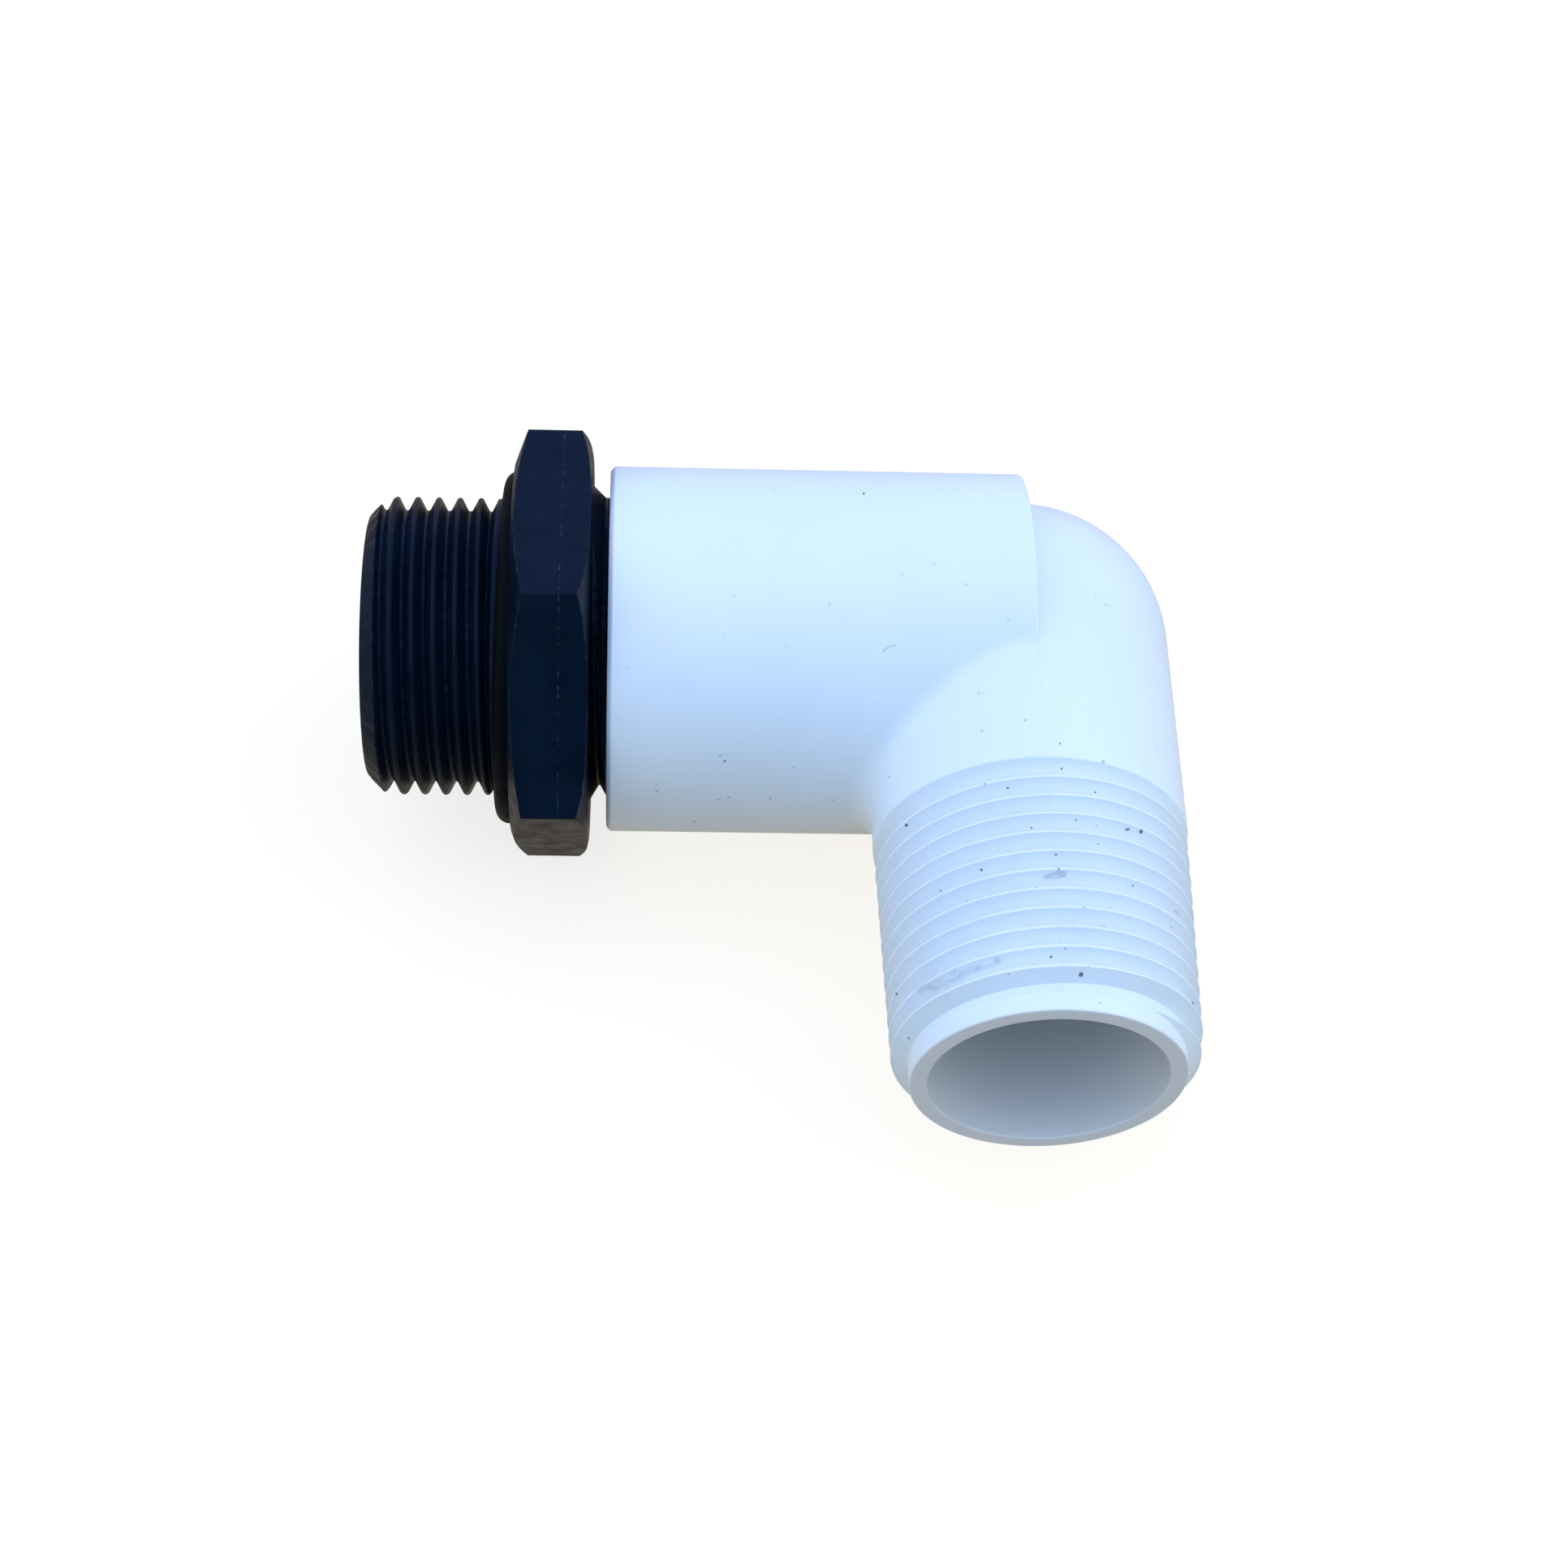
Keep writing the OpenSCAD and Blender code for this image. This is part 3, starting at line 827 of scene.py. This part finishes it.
def white_pvc():
    material, g, shader = new_material("white_pvc")
    x, y, z = g.split(g.co)
    # slow tone change
    tone = g.ramp(g.noise(45, detail=3, rough=0.5), span=(0.3, 0.7))
    colour = g.mix(tone, (0.80, 0.835, 0.87, 1), (0.845, 0.87, 0.89, 1))
    # grime, stronger towards the open end of the leg
    leg = g.ramp(y, span=(-0.030, -0.052), to=(0.25, 1.0))
    grime = g.noise(260, detail=5, rough=0.65, distort=0.6)
    grime = g.times(g.ramp(grime, span=(0.56, 0.78)), leg)
    colour = g.mix(g.times(grime, 0.22), colour, (0.52, 0.50, 0.49, 1))
    # painted shade: the leg's bore is painted greyer and warmer for the shade and warm reflected
    # light inside it; the end face gets the same colour
    edge = ((LEG_BORE_R + 0.1) * MM, (LEG_BORE_R + 0.5) * MM)
    bore_shade_and_end_face = g.ramp(g.radius(x, z), span=edge, to=(1.0, 0.0))
    bore_shade_and_end_face = g.times(bore_shade_and_end_face, g.math("LESS_THAN", y, -0.018))
    bore_shade_and_end_face = g.peak(bore_shade_and_end_face, g.math("LESS_THAN", y, (0.08 - LEG_END) * MM))
    colour = g.mix(g.times(bore_shade_and_end_face, 0.75), colour, (0.76, 0.715, 0.70, 1))
    # scattered dark specks
    specks = g.peak(g.specks(scale=420, size=0.13, share=0.07),
                    g.specks(scale=900, size=0.20, share=0.07))
    specks = g.times(specks, g.ramp(y, span=(-0.012, -0.028), to=(0.35, 1.0)))
    specks = g.times(specks, g.minus(1.0, bore_shade_and_end_face))
    colour = g.mix(g.times(specks, 0.6), colour, (0.16, 0.17, 0.20, 1))
    # smear, scratches, smudge and spots
    streaks = g.ramp(g.noise(700, detail=4, rough=0.7), span=(0.35, 0.62))
    smear = g.times(g.strokes(SMEAR, soft=0.1), streaks)
    colour = g.mix(g.times(smear, 0.5), colour, (0.42, 0.43, 0.44, 1))
    scratches = g.peak(g.strokes(LEG_SCRATCHES), g.strokes(HUB_SCRATCHES))
    broken = g.ramp(g.noise(1500, detail=3, rough=0.7), span=(0.35, 0.5))
    scratches = g.times(scratches, g.times(broken, 0.45))
    colour = g.mix(scratches, colour, (0.30, 0.33, 0.36, 1))
    broken = g.ramp(g.noise(1900, detail=3, rough=0.7), span=(0.3, 0.5))
    smudge = g.times(g.strokes(SMUDGE, soft=0.4), g.times(broken, 0.6))
    colour = g.mix(smudge, colour, (0.36, 0.38, 0.40, 1))
    colour = g.mix(g.times(elbow_spots(g), 0.88), colour, (0.05, 0.06, 0.08, 1))
    # parting line along the top and bottom of the leg
    off_line = g.math("ABSOLUTE", g.plus(x, 0.00018))
    line = g.times(g.ramp(off_line, span=(0.00004, 0.00011), to=(1.0, 0.0)),
                   g.math("LESS_THAN", y, -0.0105))
    line = g.times(line, g.math("GREATER_THAN", g.math("ABSOLUTE", z), 0.0135))
    # relief in mm: fine grain, slow flow, parting line, hairline scratches
    fine = g.noise(1500, detail=3, rough=0.6)
    flow = g.noise(30, detail=2, rough=0.5, distort=0.2, at=g.stretch((0.5, 1.0, 1.0)))
    hairs = g.voronoi(900, at=g.stretch((1.0, 0.06, 0.06)))[0]
    height = g.plus(g.times(fine, 0.010), g.times(flow, 0.25))
    height = g.plus(height, g.times(line, 0.05))
    height = g.minus(height, g.times(g.ramp(hairs, span=(0.0, 0.03), to=(1.0, 0.0)), 0.004))
    rough = g.ramp(g.noise(600, detail=4, rough=0.6), span=(0.3, 0.7), to=(0.30, 0.44))
    # the plain roughness only holds while nothing is linked to the socket
    g.fill(shader, {"Roughness": 0.4})
    g.fill(shader, {
        "Base Color": colour,
        "Roughness": g.plus(rough, g.times(grime, 0.15), clamp=True),
        "Normal": g.bump(height, distance=MM, strength=0.6),
        "Specular IOR Level": 0.45,
        "Subsurface Weight": 0.12,
        "Subsurface Radius": (0.0012, 0.0014, 0.0016),
        "Subsurface Scale": 1.0,
    })
    return material


def black_plastic():
    material, g, shader = new_material("black_plastic")
    x, y, z = g.split(g.co)
    tone = g.ramp(g.noise(120, detail=4, rough=0.6), span=(0.35, 0.7))
    colour = g.mix(tone, (0.0012, 0.0050, 0.0135, 1), (0.0030, 0.0085, 0.0190, 1))
    # worn edges
    edge, rounded = g.bevel_edge(0.00022)
    worn = g.times(edge, g.ramp(g.noise(1400, detail=4, rough=0.7), span=(0.42, 0.66)))
    colour = g.mix(g.times(worn, 0.5), colour, (0.10, 0.115, 0.14, 1))
    # faint broken parting line round the hexagon
    off_line = g.math("ABSOLUTE", g.plus(x, 0.05038))
    line = g.ramp(off_line, span=(0.00003, 0.00008), to=(1.0, 0.0))
    outer = g.math("GREATER_THAN", g.radius(y, z), 0.0205)
    broken = g.ramp(g.noise(2200, detail=3, rough=0.7), span=(0.50, 0.62))
    line = g.times(line, outer, broken)
    colour = g.mix(g.times(line, 0.24), colour, (0.16, 0.19, 0.24, 1))
    dust = g.ramp(g.noise(5200, detail=3, rough=0.8), span=(0.66, 0.76))
    colour = g.mix(g.times(dust, 0.05), colour, (0.30, 0.31, 0.33, 1))
    scuff = g.voronoi(700, at=g.stretch((0.10, 1.0, 1.0)))[0]
    scuff = g.ramp(scuff, span=(0.0, 0.05), to=(1.0, 0.0))
    rough = g.ramp(g.noise(420, detail=4, rough=0.65), span=(0.3, 0.75), to=(0.30, 0.48))
    # relief in mm: fine grain, turning marks, parting line, scuffs
    fine = g.noise(1800, detail=4, rough=0.65)
    turning = g.noise(3200, detail=2, rough=0.5, at=g.stretch((1.0, 0.03, 0.03)))
    height = g.plus(g.times(fine, 0.005), g.times(turning, 0.0005))
    height = g.plus(height, g.times(line, 0.01))
    height = g.minus(height, g.times(scuff, 0.0015))
    g.fill(shader, {
        "Base Color": colour,
        "Roughness": g.plus(rough, g.times(scuff, 0.12), clamp=True),
        "Normal": g.bump(height, distance=MM, strength=0.7, normal=rounded),
        "Specular IOR Level": 0.2,
        "IOR": 1.3,
        "Specular Tint": (0.72, 0.86, 1.0, 1),
    })
    return material


def ring_rubber():
    material, g, shader = new_material("ring_rubber")
    tone = g.ramp(g.noise(300, detail=4, rough=0.6), span=(0.35, 0.7))
    colour = g.mix(tone, (0.0010, 0.0018, 0.0035, 1), (0.0028, 0.0036, 0.0060, 1))
    dust = g.ramp(g.noise(3000, detail=3, rough=0.8), span=(0.64, 0.74))
    edge, rounded = g.bevel_edge(0.00015)
    rough = g.ramp(g.noise(900, detail=3, rough=0.6), span=(0.3, 0.7), to=(0.42, 0.60))
    height = g.plus(g.noise(2400, detail=4, rough=0.7), g.times(dust, 0.4))
    g.fill(shader, {
        "Base Color": g.mix(g.times(dust, 0.06), colour, (0.20, 0.20, 0.21, 1)),
        "Roughness": g.plus(rough, g.times(edge, 0.08), clamp=True),
        "Normal": g.bump(height, distance=0.00002, strength=0.7, normal=rounded),
        "Specular IOR Level": 0.12,
        "IOR": 1.25,
    })
    return material


def dress(part, material, sharp_angle):
    """Scales a part to metres, gives it its material and smooths its shading."""
    mesh = part.data
    mesh.transform(Matrix.Scale(MM, 4))
    mesh.materials.clear()
    mesh.materials.append(material)
    mesh.polygons.foreach_set("use_smooth", [True] * len(mesh.polygons))
    mesh.set_sharp_from_angle(angle=math.radians(sharp_angle))
    normals = part.modifiers.new("normals", "WEIGHTED_NORMAL")
    normals.keep_sharp = True
    normals.mode = "FACE_AREA_WITH_ANGLE"
    mesh.update()


elbow = build_elbow()
adapter = build_adapter()
ring = build_ring()
dress(elbow, white_pvc(), sharp_angle=32)
dress(adapter, black_plastic(), sharp_angle=32)
dress(ring, ring_rubber(), sharp_angle=60)
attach(elbow, "elbow")
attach(adapter, "adapter")
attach(ring, "ring")
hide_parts("elbow_body")
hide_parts("hex_adapter")
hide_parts("seal_ring")

# ------------------------------------------------- floor, world and light, m
FLOOR_HALF = 3.0
FLOOR_GAP = 0.0001

# soft glows of the world: (direction, narrowness, colour)
HEADINGS = (0, 90, 180, 270)  # degrees from +Y towards +X
HIGH_COLOURS = [(0.330, 0.440, 1.030), (1.060, 1.260, 1.600),
                (0.092, 0.350, 0.246), (0.930, 1.150, 1.620)]
LOW_COLOURS = [(0.384, 0.579, 1.081), (1.143, 1.584, 1.621),
               (0.0, 0.190, 0.679), (0.976, 1.457, 1.591)]


def towards(heading, elevation):
    a, e = math.radians(heading), math.radians(elevation)
    return (math.sin(a) * math.cos(e), math.cos(a) * math.cos(e), math.sin(e))


GLOWS = [((0, 0, 1), 4, (0.580, 0.605, 1.190))]
GLOWS += [(towards(h, 42), 5, colour) for h, colour in zip(HEADINGS, HIGH_COLOURS)]
GLOWS += [(towards(h, 8), 6, colour) for h, colour in zip(HEADINGS, LOW_COLOURS)]


def floor_pale():
    """Pale to the camera, an even warm glow to all other rays."""
    material = bpy.data.materials.new("floor_pale")
    g = Graph(material, coords=None)
    diffuse = g.node("ShaderNodeBsdfDiffuse", {"Color": (0.34, 0.27, 0.18, 1)})
    lift = g.node("ShaderNodeEmission", {"Color": (1, 1, 1, 1), "Strength": 0.78})
    seen = g.node("ShaderNodeAddShader", {0: diffuse.outputs[0], 1: lift.outputs[0]})
    bounce = g.node("ShaderNodeEmission", {"Color": (0.500, 0.440, 0.360, 1)})
    camera_ray = g.node("ShaderNodeLightPath").outputs["Is Camera Ray"]
    mixed = g.node("ShaderNodeMixShader",
                   {0: camera_ray, 1: bounce.outputs[0], 2: seen.outputs[0]})
    g.node("ShaderNodeOutputMaterial", {0: mixed.outputs[0]})
    return material


def build_floor(level):
    corners = [(-1, -1), (1, -1), (1, 1), (-1, 1)]
    points = [(x * FLOOR_HALF, y * FLOOR_HALF, level) for x, y in corners]
    floor = solid("floor", points, [[0, 1, 2, 3]])
    floor.data.materials.append(floor_pale())


def build_world():
    world = bpy.data.worlds.new("studio")
    SCENE.world = world
    g = Graph(world, coords="Generated")
    glows = []
    for direction, narrowness, colour in GLOWS:
        facing = g.math("MAXIMUM", g.vec("DOT_PRODUCT", g.co, direction), 0.0)
        glows.append(g.vec("SCALE", colour, scale=g.math("POWER", facing, narrowness)))
    total = reduce(lambda a, b: g.vec("ADD", a, b), glows)
    camera_ray = g.node("ShaderNodeLightPath").outputs["Is Camera Ray"]
    colour = g.mix(camera_ray, total, (0.93, 0.94, 0.95, 1))
    background = g.node("ShaderNodeBackground", {"Color": colour, "Strength": 1.0})
    g.node("ShaderNodeOutputWorld", {0: background.outputs[0]})


def build_light(target):
    offset = Vector((-0.05, 0.35, 0.75))
    light = bpy.data.lights.new("soft_panel", "AREA")
    light.shape = "DISK"
    light.size = 0.9
    light.energy = 0.25
    light.color = (0.78, 0.89, 1.0)
    panel = bpy.data.objects.new("soft_panel", light)
    SCENE.collection.objects.link(panel)
    panel.location = target + offset
    panel.rotation_mode = "QUATERNION"
    panel.rotation_quaternion = (target - (target + offset)).to_track_quat("-Z", "Y")


def build_camera():
    lens = bpy.data.cameras.new("camera")
    camera = bpy.data.objects.new("camera", lens)
    SCENE.collection.objects.link(camera)
    SCENE.camera = camera
    lens.sensor_width = 36.0
    lens.lens = 66.49
    lens.clip_start, lens.clip_end = 0.01, 20
    turn = Matrix((
        (0.998555, -0.014039, -0.051871, 0),
        (-0.018137, 0.820571, -0.571257, 0),
        (0.050583, 0.571372, 0.819131, 0),
        (0, 0, 0, 1),
    )).normalized()
    camera.matrix_world = Matrix.Translation(Vector([c * MM for c in CAMERA_AT])) @ turn


lo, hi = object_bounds()
build_floor(lo.z - FLOOR_GAP)
build_world()
build_light((lo + hi) / 2)
build_camera()
SCENE.view_settings.view_transform = "Standard"
SCENE.view_settings.look = "None"
SCENE.view_settings.exposure = 0.0
